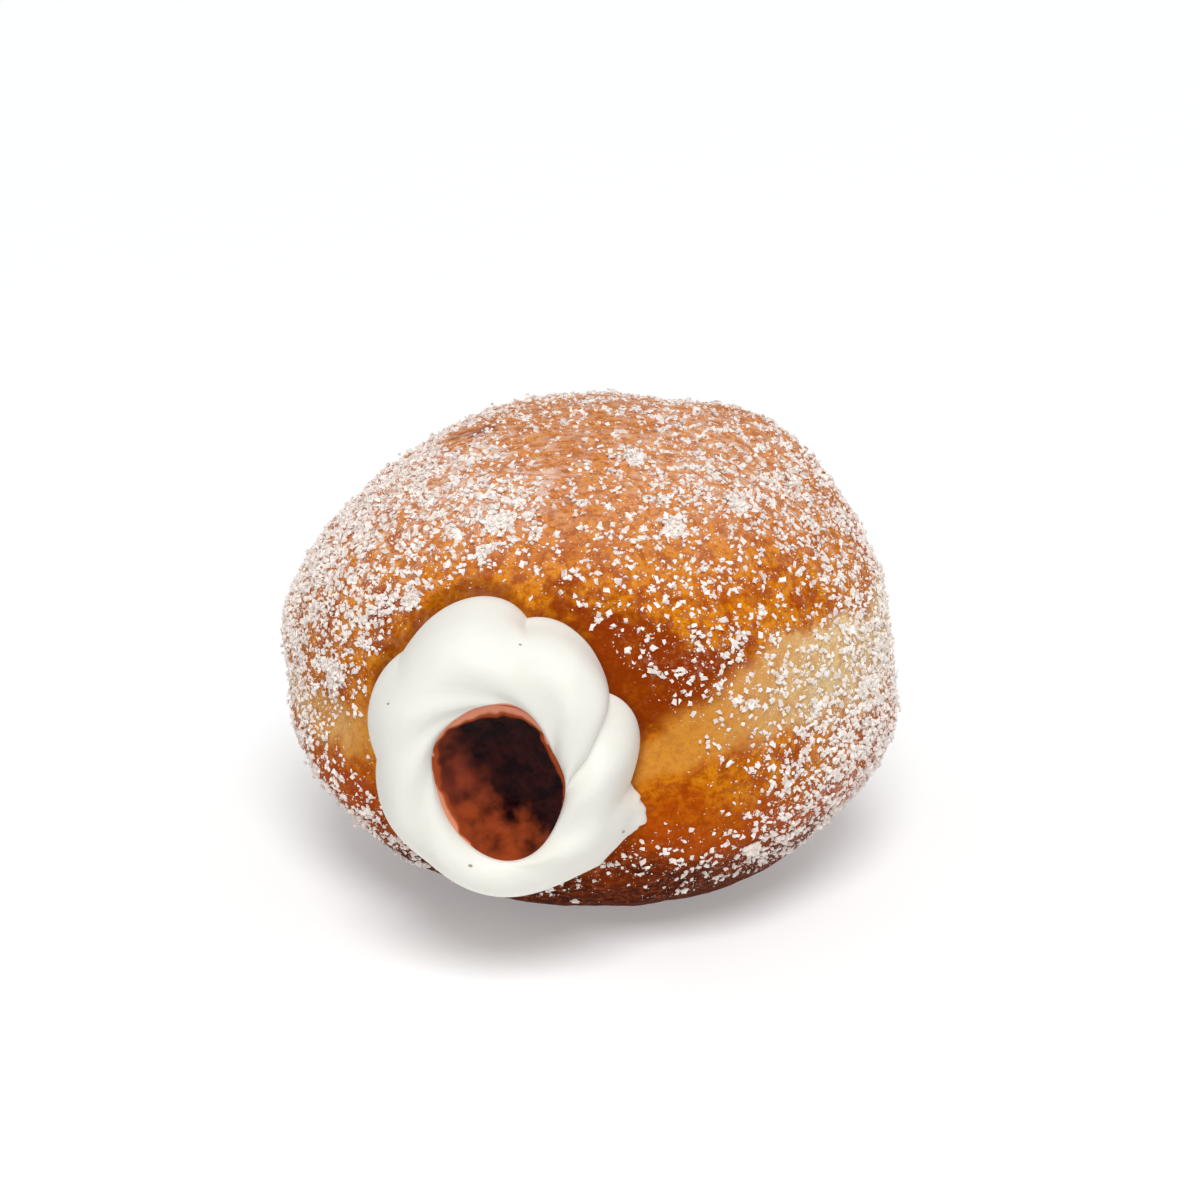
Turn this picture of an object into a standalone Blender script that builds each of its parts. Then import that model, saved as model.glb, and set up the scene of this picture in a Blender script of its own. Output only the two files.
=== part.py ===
"""A round sugared doughnut, filled through its side, with a swirl of cream and a well of jam.

Metres, +Z up. The origin is the middle of the flat foot that the dough rests on.
The cream swirl faces -Y, and its own middle lies a little to the -X side.
"""

import math
import random

import bmesh
import bpy
from mathutils import Euler, Matrix, Vector, noise

# The dough: a squashed ball, fried on both sides, with a pale ring round its waist
DOUGH_RADIUS = 0.0438
DOUGH_HALF_HEIGHT = 0.0350
DOUGH_MIDDLE_Z = 0.0335
DOUGH_SQUARENESS = 2.15
DOUGH_COLUMNS = 56
DOUGH_ROWS = 34
LUMP_HEIGHT = 0.0007
LUMPS_ACROSS = 2.6

# Bulges and hollows: azimuth and latitude in degrees, spread in degrees, height
BULGES = (
    (27, 48, 19, 0.0023),  # high shoulder, to the right and back
    (168, 36, 22, -0.0024),  # the top slopes away to the left
    (-178, 2, 10, 0.0017),  # the upper half hangs over the ring on the left
    (-172, -14, 12, 0.0005),
    (3, 0, 11, 0.0009),
    (-3, -17, 10, 0.0014),  # the lower half swells on the right
    (8, 13, 10, -0.0007),
    (-28, -54, 18, 0.0015),
    (-87, -70, 24, -0.0008),
)

# The pale ring, where the two fried halves meet
RING_TILT = math.radians(2.5)
RING_TILT_TOWARDS = math.radians(6)
RING_GROOVE_SHARE = 0.030
RING_GROOVE_SPREAD = math.radians(10)

# The filling hole, and the dent that filling left round it
FILL_X = -0.0092
FILL_Z = 0.0350
DENT_DEPTH = 0.0035
DENT_SPREAD = 0.0200

# The cream swirl, in radius from its axis and height above its base plane, towards -Y
CREAM_BASE_Y = -0.0380
CREAM_HALF_WIDTH = 0.0178
CREAM_HALF_HEIGHT = 0.0200
SWIRL_COLUMNS = 90
WIDEST_H = 0.0010
CREST_SHARE = 0.66
CREST_H = 0.0135
OUTER_ROWS = 9
OUTER_FULLNESS = 0.95
INNER_ROWS = 4
LIP_DROP = 0.0022
UNDERSIDE_DEPTH = 0.0090
UNDERSIDE_TURNS = (50, 30, 12)
SWIRL_BACK_H = -0.0110
SWIRL_SAG = 0.0016

# The swirl's grooves run from its outline over its crest, and turn on the way in to the well
CREST_PROGRESS = 9 / 13
GROOVE_TURN = math.radians(70)
GROOVE_TURN_SWING = math.radians(28)
GROOVE_TURN_MOST_AT = math.radians(200)
GROOVE_TURN_POWER = 3
GROOVE_SHARPNESS = 2.2
# Each groove's start (degrees from +X, seen from the front), then at the outline and again on the front
# its depth, and how far the lobe between it and the next groove stands out from the plain form
LOBES = (
    (-120, 0.0011, 0.0014, 0.0005, 0.0003),
    (-52, -0.0024, 0.0024, 0.0002, 0.0004),
    (-18, 0.0003, 0.0003, 0.0005, 0.0003),
    (28, 0.0024, -0.0014, 0.0016, 0.0004),
    (80, 0.0030, 0.0001, 0.0006, 0.0005),
    (140, 0.0006, 0.0008, 0.0002, 0.0003),
    (184, 0.0010, 0.0004, 0.0004, 0.0002),
)
FRONT_FROM_PROGRESS = 0.4
# The groove with a crisp edge, where the last turn of cream lies over the one before
CRISP_GROOVE = 28
CRISP_SHARPNESS = 5

# The loose end of the cream, drawn out over the crust
TAIL_ANGLE = math.radians(-29)
TAIL_SPREAD = math.radians(9)
TAIL_REACH = 0.0014
TAIL_H = 0.0024
TAIL_THICKNESS = 0.0018

# The cream in the filling hole behind the swirl
STEM_HALF_WIDTH = 0.0075
STEM_END_SHARE = 0.70
STEM_DEPTH = 0.0200
STEM_TOP_H = 0.0020
STEM_SIDES = 32

# The well in the cream, and the jam in it
WELL_SHARE = 0.486
WELL_TALLER_SHARE = 0.11
# How the well's rim departs from an oval: number of waves round it, the angle of a crest, share of radius
WELL_WAVES = (
    (1, -105, 0.024),
    (2, 128, 0.058),
    (3, 159, 0.018),
    (4, 78, 0.015),
    (5, 144, 0.020),
)
WELL_FLOOR_SHARE = 0.38
WELL_FLOOR_H = 0.0050
JAM_ROWS = 4
JAM_BELOW_LIP = 0.0002
JAM_HOLLOW = 0.0032
JAM_ROOM = 1.3

# The sugar: the largest crystals and clumps, partly sunk in the crust
SUGAR_SEED = 7
CRYSTAL_COUNT = 200
CRYSTAL_SIZES = (0.0010, 0.0016)
CRYSTAL_SPACING = 0.0046
CRYSTAL_SUNK_SHARE = 0.25
CLUMP_RADII = (0.0009, 0.0013)
CLUMP_SUNK_SHARE = 0.35
CLUMP_JITTER = 0.20
# Clumps that stand out: azimuth and latitude in degrees
CLUMPS = ((-142, 7), (-125, 25), (-111, 44), (-64, 64), (-64, 43), (-42, 45), (-25, 2), (-52, -24))
SUGAR_BARE_ROUND_FILL = 0.0250
SUGAR_BARE_ABOVE_FOOT = 0.0040
SUGAR_ON_TOP = 0.45
SUGAR_BAND_SPREAD = math.radians(35)

GAP = 0.0003
MERGE = 1e-6


def clear_scene():
    for obj in list(bpy.data.objects):
        bpy.data.objects.remove(obj, do_unlink=True)


def new_collection(name, hidden=False):
    collection = bpy.data.collections.new(name)
    collection.hide_render = hidden
    bpy.context.scene.collection.children.link(collection)
    return collection


def finish(obj, colour, roughness):
    """Gives the object its own Principled material."""
    material = bpy.data.materials.new(obj.name)
    material.use_nodes = True
    shader = material.node_tree.nodes["Principled BSDF"]
    shader.inputs["Base Color"].default_value = (*colour, 1.0)
    shader.inputs["Roughness"].default_value = roughness
    shader.inputs["Metallic"].default_value = 0.0
    obj.data.materials.clear()
    obj.data.materials.append(material)


def object_from(name, shape, collection):
    """A new object that takes over a bmesh, with its doubles merged and its faces turned outwards."""
    bmesh.ops.remove_doubles(shape, verts=shape.verts, dist=MERGE)
    bmesh.ops.recalc_face_normals(shape, faces=shape.faces)
    if shape.calc_volume(signed=True) < 0:
        bmesh.ops.reverse_faces(shape, faces=shape.faces)
    mesh = bpy.data.meshes.new(name)
    shape.to_mesh(mesh)
    shape.free()
    mesh.shade_smooth()
    obj = bpy.data.objects.new(name, mesh)
    collection.objects.link(obj)
    return obj


def add_boolean(obj, name, operation, other, solver="EXACT"):
    """A Boolean with another object, or with a whole collection of them."""
    boolean = obj.modifiers.new(name, "BOOLEAN")
    boolean.operation = operation
    boolean.solver = solver
    if isinstance(other, bpy.types.Collection):
        boolean.operand_type = "COLLECTION"
        boolean.collection = other
    else:
        boolean.object = other


def as_guide(obj):
    obj.hide_render = True
    obj.display_type = "WIRE"
    return obj


def direction(azimuth, latitude):
    """The unit vector at this azimuth from +X and this latitude above level, in degrees."""
    azimuth, latitude = math.radians(azimuth), math.radians(latitude)
    level = math.cos(latitude)
    return Vector((level * math.cos(azimuth), level * math.sin(azimuth), math.sin(latitude)))


def ring_groove(towards):
    """The share of the radius that the pale ring's groove takes away in this direction."""
    azimuth = math.atan2(towards.y, towards.x)
    middle = RING_TILT * math.cos(azimuth - RING_TILT_TOWARDS)
    off = (math.asin(max(-1.0, min(1.0, towards.z))) - middle) / RING_GROOVE_SPREAD
    return RING_GROOVE_SHARE * math.exp(-off * off)


def bulge(towards):
    """The height of the bulges and hollows in this direction."""
    height = LUMP_HEIGHT * noise.noise(towards * LUMPS_ACROSS)
    for azimuth, latitude, spread, size in BULGES:
        off = towards.angle(direction(azimuth, latitude)) / math.radians(spread)
        height += size * math.exp(-off * off)
    return height


def crust_point(towards, proud=0.0):
    """The crust's point in this direction from the dough's middle, or a point that stands proud of it."""
    level = math.hypot(towards.x, towards.y) / DOUGH_RADIUS
    upright = abs(towards.z) / DOUGH_HALF_HEIGHT
    reach = (level**DOUGH_SQUARENESS + upright**DOUGH_SQUARENESS) ** (-1 / DOUGH_SQUARENESS)
    reach *= 1 - ring_groove(towards)
    point = towards * (reach + bulge(towards) + proud)
    point.z += DOUGH_MIDDLE_Z
    if point.y < 0:
        off = math.hypot(point.x - FILL_X, point.z - FILL_Z) / DENT_SPREAD
        point.y += DENT_DEPTH * math.exp(-off * off)
    point.z = max(point.z, 0.0)
    return point


def crust_ball(name, collection, proud=0.0):
    """A ball whose points are moved out to the crust's form."""
    ball = bmesh.new()
    bmesh.ops.create_uvsphere(ball, u_segments=DOUGH_COLUMNS, v_segments=DOUGH_ROWS, radius=1.0)
    for vertex in ball.verts:
        vertex.co = crust_point(vertex.co.normalized(), proud)
    return object_from(name, ball, collection)


def stem(name, collection, proud=0.0):
    """The tapered plug of cream behind the swirl, or the hole that it fills with some room round it."""
    width = STEM_HALF_WIDTH + proud
    taper = CREAM_HALF_HEIGHT / CREAM_HALF_WIDTH
    depth = STEM_DEPTH + proud + STEM_TOP_H
    plug = bmesh.new()
    bmesh.ops.create_cone(
        plug,
        cap_ends=True,
        segments=STEM_SIDES,
        radius1=width,
        radius2=STEM_HALF_WIDTH * STEM_END_SHARE + proud,
        depth=depth,
    )
    lay_back = Matrix.Rotation(math.radians(-90), 4, "X")
    stretch = Matrix.Diagonal((1, 1, taper, 1))
    middle_y = CREAM_BASE_Y - STEM_TOP_H + depth / 2
    place = Matrix.Translation((FILL_X, middle_y, FILL_Z))
    plug.transform(place @ stretch @ lay_back)
    return as_guide(object_from(name, plug, collection))


def spun(name, profile, collection):
    """A body turned about the swirl's axis from rows of (share, h, progress, out, forward).

    The rows are turned as a plain profile first, and each point is then put in its place on the swirl.
    """
    shape = bmesh.new()
    layers = [shape.verts.layers.float.new(name) for name in ("progress", "out", "forward")]
    line = []
    for share, h, *ways in profile:
        vertex = shape.verts.new((share, -h, 0.0))
        for layer, way in zip(layers, ways):
            vertex[layer] = way
        line.append(vertex)
    edges = [shape.edges.new(pair) for pair in zip(line, line[1:])]
    bmesh.ops.spin(
        shape,
        geom=line + edges,
        cent=(0, 0, 0),
        axis=(0, 1, 0),
        angle=2 * math.pi,
        steps=SWIRL_COLUMNS,
        use_merge=True,
    )
    for vertex in shape.verts:
        start = math.atan2(vertex.co.z, vertex.co.x)
        share = math.hypot(vertex.co.x, vertex.co.z)
        vertex.co = swirl_point(start, share, -vertex.co.y, *(vertex[layer] for layer in layers))
    return object_from(name, shape, collection)


def lobe_height(start, progress):
    """How far the lobe at this angle of the outline stands out here, below zero in a groove.

    The grooves are sharp at the outline and soft on the front, where one keeps a crisp edge.
    """
    first = LOBES[0][0]
    degrees = (math.degrees(start) - first) % 360 + first
    grooves = [*LOBES, (first + 360, *LOBES[0][1:])]
    near, far = next(pair for pair in zip(grooves, grooves[1:]) if degrees <= pair[1][0])
    share = (degrees - near[0]) / (far[0] - near[0])
    side = abs(2 * share - 1)
    sharp = side**GROOVE_SHARPNESS
    soft = side * side * (3 - 2 * side)
    if near[0] == CRISP_GROOVE and share < 0.5:
        soft = side**CRISP_SHARPNESS
    outline = near[2] * (1 - sharp) - (near[1] + (far[1] - near[1]) * share) * sharp
    front = near[4] * (1 - soft) - (near[3] + (far[3] - near[3]) * share) * soft
    on_front = 0.5 - 0.5 * math.cos(math.pi * min(1.0, progress / FRONT_FROM_PROGRESS))
    return outline + (front - outline) * on_front


def groove_turn(start):
    """How far a groove that starts at this angle turns on its way in to the well."""
    return GROOVE_TURN + GROOVE_TURN_SWING * math.cos(start - GROOVE_TURN_MOST_AT)


def well_wave(angle):
    """How far the well's uneven rim lies outside its plain oval, as a share of the radius."""
    return sum(size * math.cos(count * (angle - math.radians(crest))) for count, crest, size in WELL_WAVES)


def tail_at(angle, h):
    """How far the loose end of the cream reaches past the outline."""
    off_angle = abs((angle - TAIL_ANGLE + math.pi) % (2 * math.pi) - math.pi) / TAIL_SPREAD
    off_h = (h - TAIL_H) / TAIL_THICKNESS
    return TAIL_REACH * max(0.0, 1 - off_angle) * math.exp(-off_h * off_h)


def half_breadth(angle, progress):
    """The plain radius at this angle: the outline's, and further in one that suits the taller well."""
    across = math.cos(angle) / CREAM_HALF_WIDTH
    up = math.sin(angle) / (CREAM_HALF_HEIGHT * (1 + WELL_TALLER_SHARE * progress**2))
    return 1 / math.hypot(across, up)


def swirl_point(start, share, h, progress, out, forward):
    """Puts a point of the turned profile on the swirl, with its lobes, its sag and its loose end.

    The point belongs to the lobe that starts at this angle of the outline, so it turns with it.
    """
    angle = start - groove_turn(start) * progress**GROOVE_TURN_POWER
    lobe = lobe_height(start, progress)
    past_crest = max(0.0, (progress - CREST_PROGRESS) / (1 - CREST_PROGRESS))
    radius = half_breadth(angle, progress) * share * (1 + well_wave(angle) * past_crest) + lobe * out
    if out > 0:
        radius += tail_at(angle, h)
    return Vector(
        (
            FILL_X + radius * math.cos(angle),
            CREAM_BASE_Y - h - lobe * forward,
            FILL_Z + radius * math.sin(angle) - SWIRL_SAG * progress**2,
        )
    )


def swirl_profile():
    """The rows of the swirl from its back, over its crest, to the floor of the jam's well."""
    outer = 1 - CREST_SHARE
    first_turn = math.radians(UNDERSIDE_TURNS[0])
    rows = [(0.0, SWIRL_BACK_H, 0.0, 0.0, 0.0)]
    rows.append((CREST_SHARE + outer * math.cos(first_turn), SWIRL_BACK_H, 0.0, 1.0, 0.0))
    for turn in map(math.radians, UNDERSIDE_TURNS):
        share = CREST_SHARE + outer * math.cos(turn)
        rows.append((share, WIDEST_H - UNDERSIDE_DEPTH * math.sin(turn), 0.0, 1.0, 0.0))
    all_rows = OUTER_ROWS + INNER_ROWS
    for row in range(OUTER_ROWS + 1):
        turn = math.radians(90) * row / OUTER_ROWS
        share = CREST_SHARE + outer * math.cos(turn) ** OUTER_FULLNESS
        h = WIDEST_H + (CREST_H - WIDEST_H) * math.sin(turn) ** OUTER_FULLNESS
        rows.append((share, h, row / all_rows, math.cos(turn), math.sin(turn)))
    for row in range(1, INNER_ROWS + 1):
        turn = math.radians(90) * row / INNER_ROWS
        share = CREST_SHARE - (CREST_SHARE - WELL_SHARE) * math.sin(turn)
        h = CREST_H - LIP_DROP * (1 - math.cos(turn))
        rows.append((share, h, (OUTER_ROWS + row) / all_rows, 0.0, math.cos(turn)))
    rows.append((WELL_FLOOR_SHARE, WELL_FLOOR_H, 1.0, 0.0, 0.0))
    rows.append((0.0, WELL_FLOOR_H, 1.0, 0.0, 0.0))
    return rows


def jam_profile():
    """The rows of the jam from its hidden back to the middle of its hollow front."""
    rim_h = CREST_H - LIP_DROP - JAM_BELOW_LIP
    room = JAM_ROOM * GAP / CREAM_HALF_WIDTH
    rim_share = WELL_SHARE - room
    back_h = WELL_FLOOR_H + GAP
    rows = [(0.0, back_h, 1.0, 0.0, 0.0), (WELL_FLOOR_SHARE - room, back_h, 1.0, 0.0, 0.0)]
    for row in range(JAM_ROWS + 1):
        inwards = 1 - row / JAM_ROWS
        hollow = JAM_HOLLOW * (1 - inwards**2)
        rows.append((rim_share * inwards, rim_h - hollow, 1.0, 0.0, 0.0))
    return rows


def sugar_cover(towards):
    """How likely sugar is to stick in this direction: most round the waist, less on top."""
    off = math.asin(towards.z) / SUGAR_BAND_SPREAD
    return SUGAR_ON_TOP + (1 - SUGAR_ON_TOP) * math.exp(-off * off)


def bare(point):
    """Whether a place has no sugar: under the cream and on the foot."""
    under_cream = math.hypot(point.x - FILL_X, point.z - FILL_Z) < SUGAR_BARE_ROUND_FILL
    return (point.y < 0 and under_cream) or point.z < SUGAR_BARE_ABOVE_FOOT


def sugar_places():
    """Directions for the scattered crystals, none too near another or to a clump."""
    taken = [crust_point(direction(*clump)) for clump in CLUMPS]
    places = []
    while len(places) < CRYSTAL_COUNT:
        towards = Vector([random.gauss(0, 1) for _ in range(3)]).normalized()
        point = crust_point(towards)
        near = any((point - other).length < CRYSTAL_SPACING for other in taken)
        if random.random() > sugar_cover(towards) or bare(point) or near:
            continue
        taken.append(point)
        places.append(towards)
    return places


def crystal(number, towards, collection):
    """One blocky crystal, turned at random and partly sunk in the crust."""
    sides = [random.uniform(*CRYSTAL_SIZES) for _ in range(3)]
    shape = bmesh.new()
    bmesh.ops.create_cube(shape, size=1.0)
    turn = Euler([random.uniform(0, math.pi) for _ in range(3)]).to_matrix().to_4x4()
    place = Matrix.Translation(crust_point(towards, -CRYSTAL_SUNK_SHARE * min(sides)))
    shape.transform(place @ turn @ Matrix.Diagonal((*sides, 1)))
    object_from(f"crystal {number}", shape, collection)


def clump(number, towards, collection):
    """Crystals stuck together: an uneven lump, partly sunk in the crust."""
    radius = random.uniform(*CLUMP_RADII)
    shape = bmesh.new()
    bmesh.ops.create_icosphere(shape, subdivisions=1, radius=radius)
    for vertex in shape.verts:
        vertex.co *= random.uniform(1 - CLUMP_JITTER, 1 + CLUMP_JITTER)
    shape.transform(Matrix.Translation(crust_point(towards, -CLUMP_SUNK_SHARE * radius)))
    object_from(f"clump {number}", shape, collection)


def fuse(obj, collection):
    """Joins a collection of small pieces to the object, then removes them."""
    add_boolean(obj, "join the sugar", "UNION", collection)
    graph = bpy.context.evaluated_depsgraph_get()
    obj.data = bpy.data.meshes.new_from_object(obj.evaluated_get(graph))
    obj.modifiers.clear()
    for piece in list(collection.objects):
        bpy.data.objects.remove(piece, do_unlink=True)
    bpy.data.collections.remove(collection)


def make_dough(parts, guides):
    dough = crust_ball("dough", parts)
    add_boolean(dough, "cut the filling hole", "DIFFERENCE", stem("filling hole", guides, GAP))
    sugar = new_collection("sugar", hidden=True)
    for number, place in enumerate(CLUMPS):
        clump(number, direction(*place), sugar)
    for number, towards in enumerate(sugar_places()):
        crystal(number, towards, sugar)
    fuse(dough, sugar)
    finish(dough, (0.52, 0.19, 0.045), 0.55)


def make_cream(parts, guides):
    cream = spun("cream", swirl_profile(), parts)
    room = as_guide(crust_ball("dough with room round it", guides, GAP))
    add_boolean(cream, "fit the swirl to the dough", "DIFFERENCE", room)
    # The exact solver turns this union inside out, so it takes the other one
    add_boolean(cream, "join the stem", "UNION", stem("cream stem", guides), "MANIFOLD")
    finish(cream, (0.88, 0.86, 0.80), 0.45)


def make_jam(parts):
    jam = spun("jam", jam_profile(), parts)
    finish(jam, (0.16, 0.025, 0.012), 0.12)


def main():
    clear_scene()
    random.seed(SUGAR_SEED)
    parts = new_collection("doughnut")
    guides = new_collection("guides", hidden=True)
    make_dough(parts, guides)
    make_cream(parts, guides)
    make_jam(parts)


if __name__ == "__main__":
    main()
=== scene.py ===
"""The sugared doughnut with its looks: fried crust, a piped swirl of cream, a well of jam, and sugar.

Metres, +Z up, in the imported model's frame. The crust, the swirl and the jam keep the forms of their
solids and replace them with fine meshes. The sugar is real crystals, scattered by one seeded rule.
"""

import math

import bmesh
import bpy
import numpy as np
from mathutils import Matrix, Vector, noise


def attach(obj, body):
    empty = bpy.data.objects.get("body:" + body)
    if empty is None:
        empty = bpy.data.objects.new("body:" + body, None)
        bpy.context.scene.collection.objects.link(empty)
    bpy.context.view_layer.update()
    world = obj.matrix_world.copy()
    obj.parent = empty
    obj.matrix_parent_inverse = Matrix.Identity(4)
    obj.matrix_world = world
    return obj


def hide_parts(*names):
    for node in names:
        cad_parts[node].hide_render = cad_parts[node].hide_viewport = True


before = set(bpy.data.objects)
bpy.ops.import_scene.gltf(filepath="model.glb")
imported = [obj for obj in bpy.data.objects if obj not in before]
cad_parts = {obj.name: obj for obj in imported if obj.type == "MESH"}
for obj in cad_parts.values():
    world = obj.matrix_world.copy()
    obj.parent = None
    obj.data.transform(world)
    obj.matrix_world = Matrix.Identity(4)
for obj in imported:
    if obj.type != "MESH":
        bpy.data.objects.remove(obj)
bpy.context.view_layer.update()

BODY = "root"
# Points nearer than the first are merged, and nothing is divided by an area under the second
MERGE = 1e-7
LEAST_AREA = 1e-12
# A patch has no effect past this many times its spread
PATCH_REACH = 3

# The dough: a squashed ball, fried on both sides, with a pale ring round its waist
DOUGH_RADIUS = 0.0438
DOUGH_HALF_HEIGHT = 0.0350
DOUGH_MIDDLE_Z = 0.0335
DOUGH_SQUARENESS = 2.15
DOUGH_CUTS = 118
LUMP_HEIGHT = 0.0007
LUMPS_ACROSS = 2.6

# Bulges and hollows: azimuth and latitude in degrees, spread in degrees, height
BULGES = (
    (27, 48, 19, 0.0023),
    (168, 36, 22, -0.0024),
    (-178, 2, 10, 0.0017),
    (-172, -14, 12, 0.0005),
    (3, 0, 11, 0.0009),
    (-3, -17, 10, 0.0014),
    (8, 13, 10, -0.0007),
    (-28, -54, 18, 0.0015),
    (-87, -70, 24, -0.0008),
)
RING_TILT = math.radians(2.5)
RING_TILT_TOWARDS = math.radians(6)
RING_GROOVE_SHARE = 0.030
RING_GROOVE_SPREAD = math.radians(10)

# The filling hole under the cream, and the dent round it
FILL_X = -0.0092
FILL_Z = 0.0350
DENT_DEPTH = 0.0035
DENT_SPREAD = 0.0200

# Fine relief of the crust: size across and height of dimples, pores and the wrinkles on top,
# which start at one latitude and are full at another
DIMPLE_ACROSS = 0.0052
DIMPLE_HEIGHT = 0.00022
PORE_ACROSS = 0.0016
PORE_HEIGHT = 0.00007
WRINKLE_LENGTH = 0.0042
WRINKLE_ACROSS = 0.0012
WRINKLE_HEIGHT = 0.00006
WRINKLES_FROM, WRINKLES_FULL = 40, 60

# The pale ring's middle and half width in degrees of latitude, both greater towards one azimuth
RING_MIDDLE = 1.2
RING_LEAN = 7.0
RING_LEAN_TOWARDS = -15
RING_HALF = 6.4
RING_HALF_MORE = 2.4
RING_EDGE = 3.0
# The ring's ragged edge: how many waves in the length of a radius, and their height in degrees
RING_RAGS = (
    (7.0, 3.6),
    (19.0, 1.8),
)
# Where the ring's middle dips or rises: azimuth, spread and height in degrees
RING_DIPS = (
    (-80, 15, -5.5),
    (-50, 14, 2.5),
)
# Where the ring is narrower: azimuth, spread, and by how much, in degrees
RING_NARROW_AT, RING_NARROW_SPREAD, RING_NARROW_BY = -72, 16, 2.0

# Patches in directions from the dough's middle: azimuth, latitude and spread in degrees, amount
# Browner crust by the cream and at the upper left, and painted shade low down
DARK_CRUST_AND_SHADE_PATCHES = (
    (-72, 12, 10, 1.00),
    (-82, 22, 8, 0.85),
    (-80, 13, 7, 0.70),
    (-92, 28, 7, 0.45),
    (-60, 14, 9, 0.70),
    (-96, 31, 6, 0.20),
    (-130, 21, 8, 0.75),
    (-124, 10, 6, 0.40),
    # Painted shade, low down under the cream and the belly
    (-140, -26, 14, 0.55),
    (-80, -40, 18, 0.90),
    (-84, -22, 9, 0.55),
    (-168, 66, 4, 1.10),
    (-177, 60, 3, 0.80),
    (60, 15, 16, 0.50),
    (140, 24, 14, 0.40),
)
PALE_PATCHES = (
    (-12, 4, 44, 1.00),
    (-168, -4, 20, 0.55),
    (-140, -3, 10, 0.30),
    (95, 4, 50, 0.75),
)
FROST_PATCHES = (
    (-150, 52, 22, 1.00),
    (-118, 55, 9, 0.70),
    (-122, 57, 10, 0.55),
    (-104, 55, 7, 0.60),
    (-38, 62, 20, 0.65),
    (-12, 34, 14, 0.40),
    (-20, -14, 20, 0.55),
    (-170, 18, 24, 0.35),
    (60, 60, 26, 0.70),
    (150, 30, 40, 0.60),
    (30, 0, 40, 0.60),
)
SUGAR_PATCHES = (
    (-165, 15, 28, 0.28),
    (-152, 48, 20, 0.42),
    (-128, 50, 11, 0.18),
    (-112, 45, 8, 0.34),
    (-15, 0, 28, 0.40),
    (-31, -9, 15, 0.22),
    (-25, 45, 20, 0.26),
    (-38, 62, 14, 0.14),
    (-64, 43, 13, 0.12),
    (-64, 24, 10, 0.12),
    (-50, 26, 16, -0.08),
    (-66, 13, 7, 0.14),
    (-70, -24, 9, 0.10),
    (-90, 73, 13, -0.18),
    (-102, 61, 9, -0.18),
    (-174, 62, 6, -0.55),
    (-112, 38, 16, 0.10),
    (-108, 29, 7, -0.36),
    (-131, 20, 9, 0.30),
    (-74, -1, 11, -0.60),
    (-68, -14, 11, -0.24),
    (-137, -4, 8, -0.36),
    (-43, 33, 6, -0.22),
    (-40, 24, 6, -0.15),
    (-145, -22, 12, 0.05),
    (-80, -34, 8, -0.40),
    (80, 30, 40, 0.12),
    (150, 0, 40, 0.22),
)
# How much sugar lies where there is no patch, and how strong and fine its unevenness is
SUGAR_BASE = 0.30
COVER_PATCHY, COVER_PATCHES_ACROSS = 0.20, 9.0
COVER_MOTTLED, COVER_MOTTLES_ACROSS = 0.34, 31.0
# No sugar lies nearer to the filling hole's axis than one distance, and all of it past the other.
# The same goes for the height above the floor
SUGAR_NEAR_CREAM, SUGAR_FAR_FROM_CREAM = 0.0182, 0.0222
FOOT_BARE, FOOT_CLEAR = 0.0050, 0.0125

# The painted shadow along the cream, a dark line on the crust: how far out of the cream's outline it
# ends
SEAM_SHADOW_END = 0.0012

# The cream swirl. A share is of the outline's radius, and H is how far in front of the swirl's base
CREAM_BASE_Y = -0.0380
CREAM_HALF_WIDTH = 0.0178
CREAM_HALF_HEIGHT = 0.0200
SWIRL_COLUMNS = 450
WIDEST_H = 0.0010
CREST_SHARE = 0.66
CREST_H = 0.0135
OUTER_ROWS = 45
OUTER_FULLNESS = 0.95
INNER_ROWS = 22
LIP_DROP = 0.0022
UNDERSIDE_DEPTH = 0.0090
UNDERSIDE_ROWS = 12
UNDERSIDE_FIRST_TURN = math.radians(50)
SWIRL_BACK_H = -0.0110
SWIRL_SAG = 0.0016

# The swirl's grooves run from its outline over its crest, and turn on the way in to the well
CREST_PROGRESS = 9 / 13
GROOVE_TURN = math.radians(70)
GROOVE_TURN_SWING = math.radians(28)
GROOVE_TURN_MOST_AT = math.radians(200)
GROOVE_TURN_POWER = 3
GROOVE_SHARPNESS = 2.2
# Each groove's start (degrees from +X, seen from the front), then at the outline and again on the front
# its depth, and how far the lobe between it and the next groove stands out from the plain form
LOBES = (
    (-120, 0.0011, 0.0014, 0.0005, 0.0003),
    (-52, -0.0024, 0.0024, 0.0002, 0.0004),
    (-18, 0.0003, 0.0003, 0.0005, 0.0003),
    (28, 0.0024, -0.0014, 0.0016, 0.0004),
    (80, 0.0030, 0.0001, 0.0006, 0.0005),
    (140, 0.0006, 0.0008, 0.0002, 0.0003),
    (184, 0.0010, 0.0004, 0.0004, 0.0002),
)
FRONT_FROM_PROGRESS = 0.4
# The groove with a crisp edge, where the last turn of cream lies over the one before
CRISP_GROOVE = 28
CRISP_SHARPNESS = 5

# The loose end of the cream. Its rags are so many to a radian round the outline and to a metre forwards
TAIL_ANGLE = math.radians(-29)
TAIL_SPREAD = math.radians(9)
TAIL_REACH = 0.0014
TAIL_H = 0.0024
TAIL_THICKNESS = 0.0018
TAIL_RAGGED = 0.0007
TAIL_RAGS_ROUND, TAIL_RAGS_OUT = 22, 300

# The cream's fine relief: height, and how fine it is round the swirl and from its outline to the well
CREAM_WAVE_HEIGHT, CREAM_WAVES_ROUND, CREAM_WAVES_ALONG = 0.00010, 3.0, 3.0
CREAM_STREAK_HEIGHT, CREAM_STREAKS_ROUND, CREAM_STREAKS_ALONG = 0.000012, 26.0, 2.0

# The well in the cream, and the jam in it
WELL_SHARE = 0.486
WELL_TALLER_SHARE = 0.11
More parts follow.
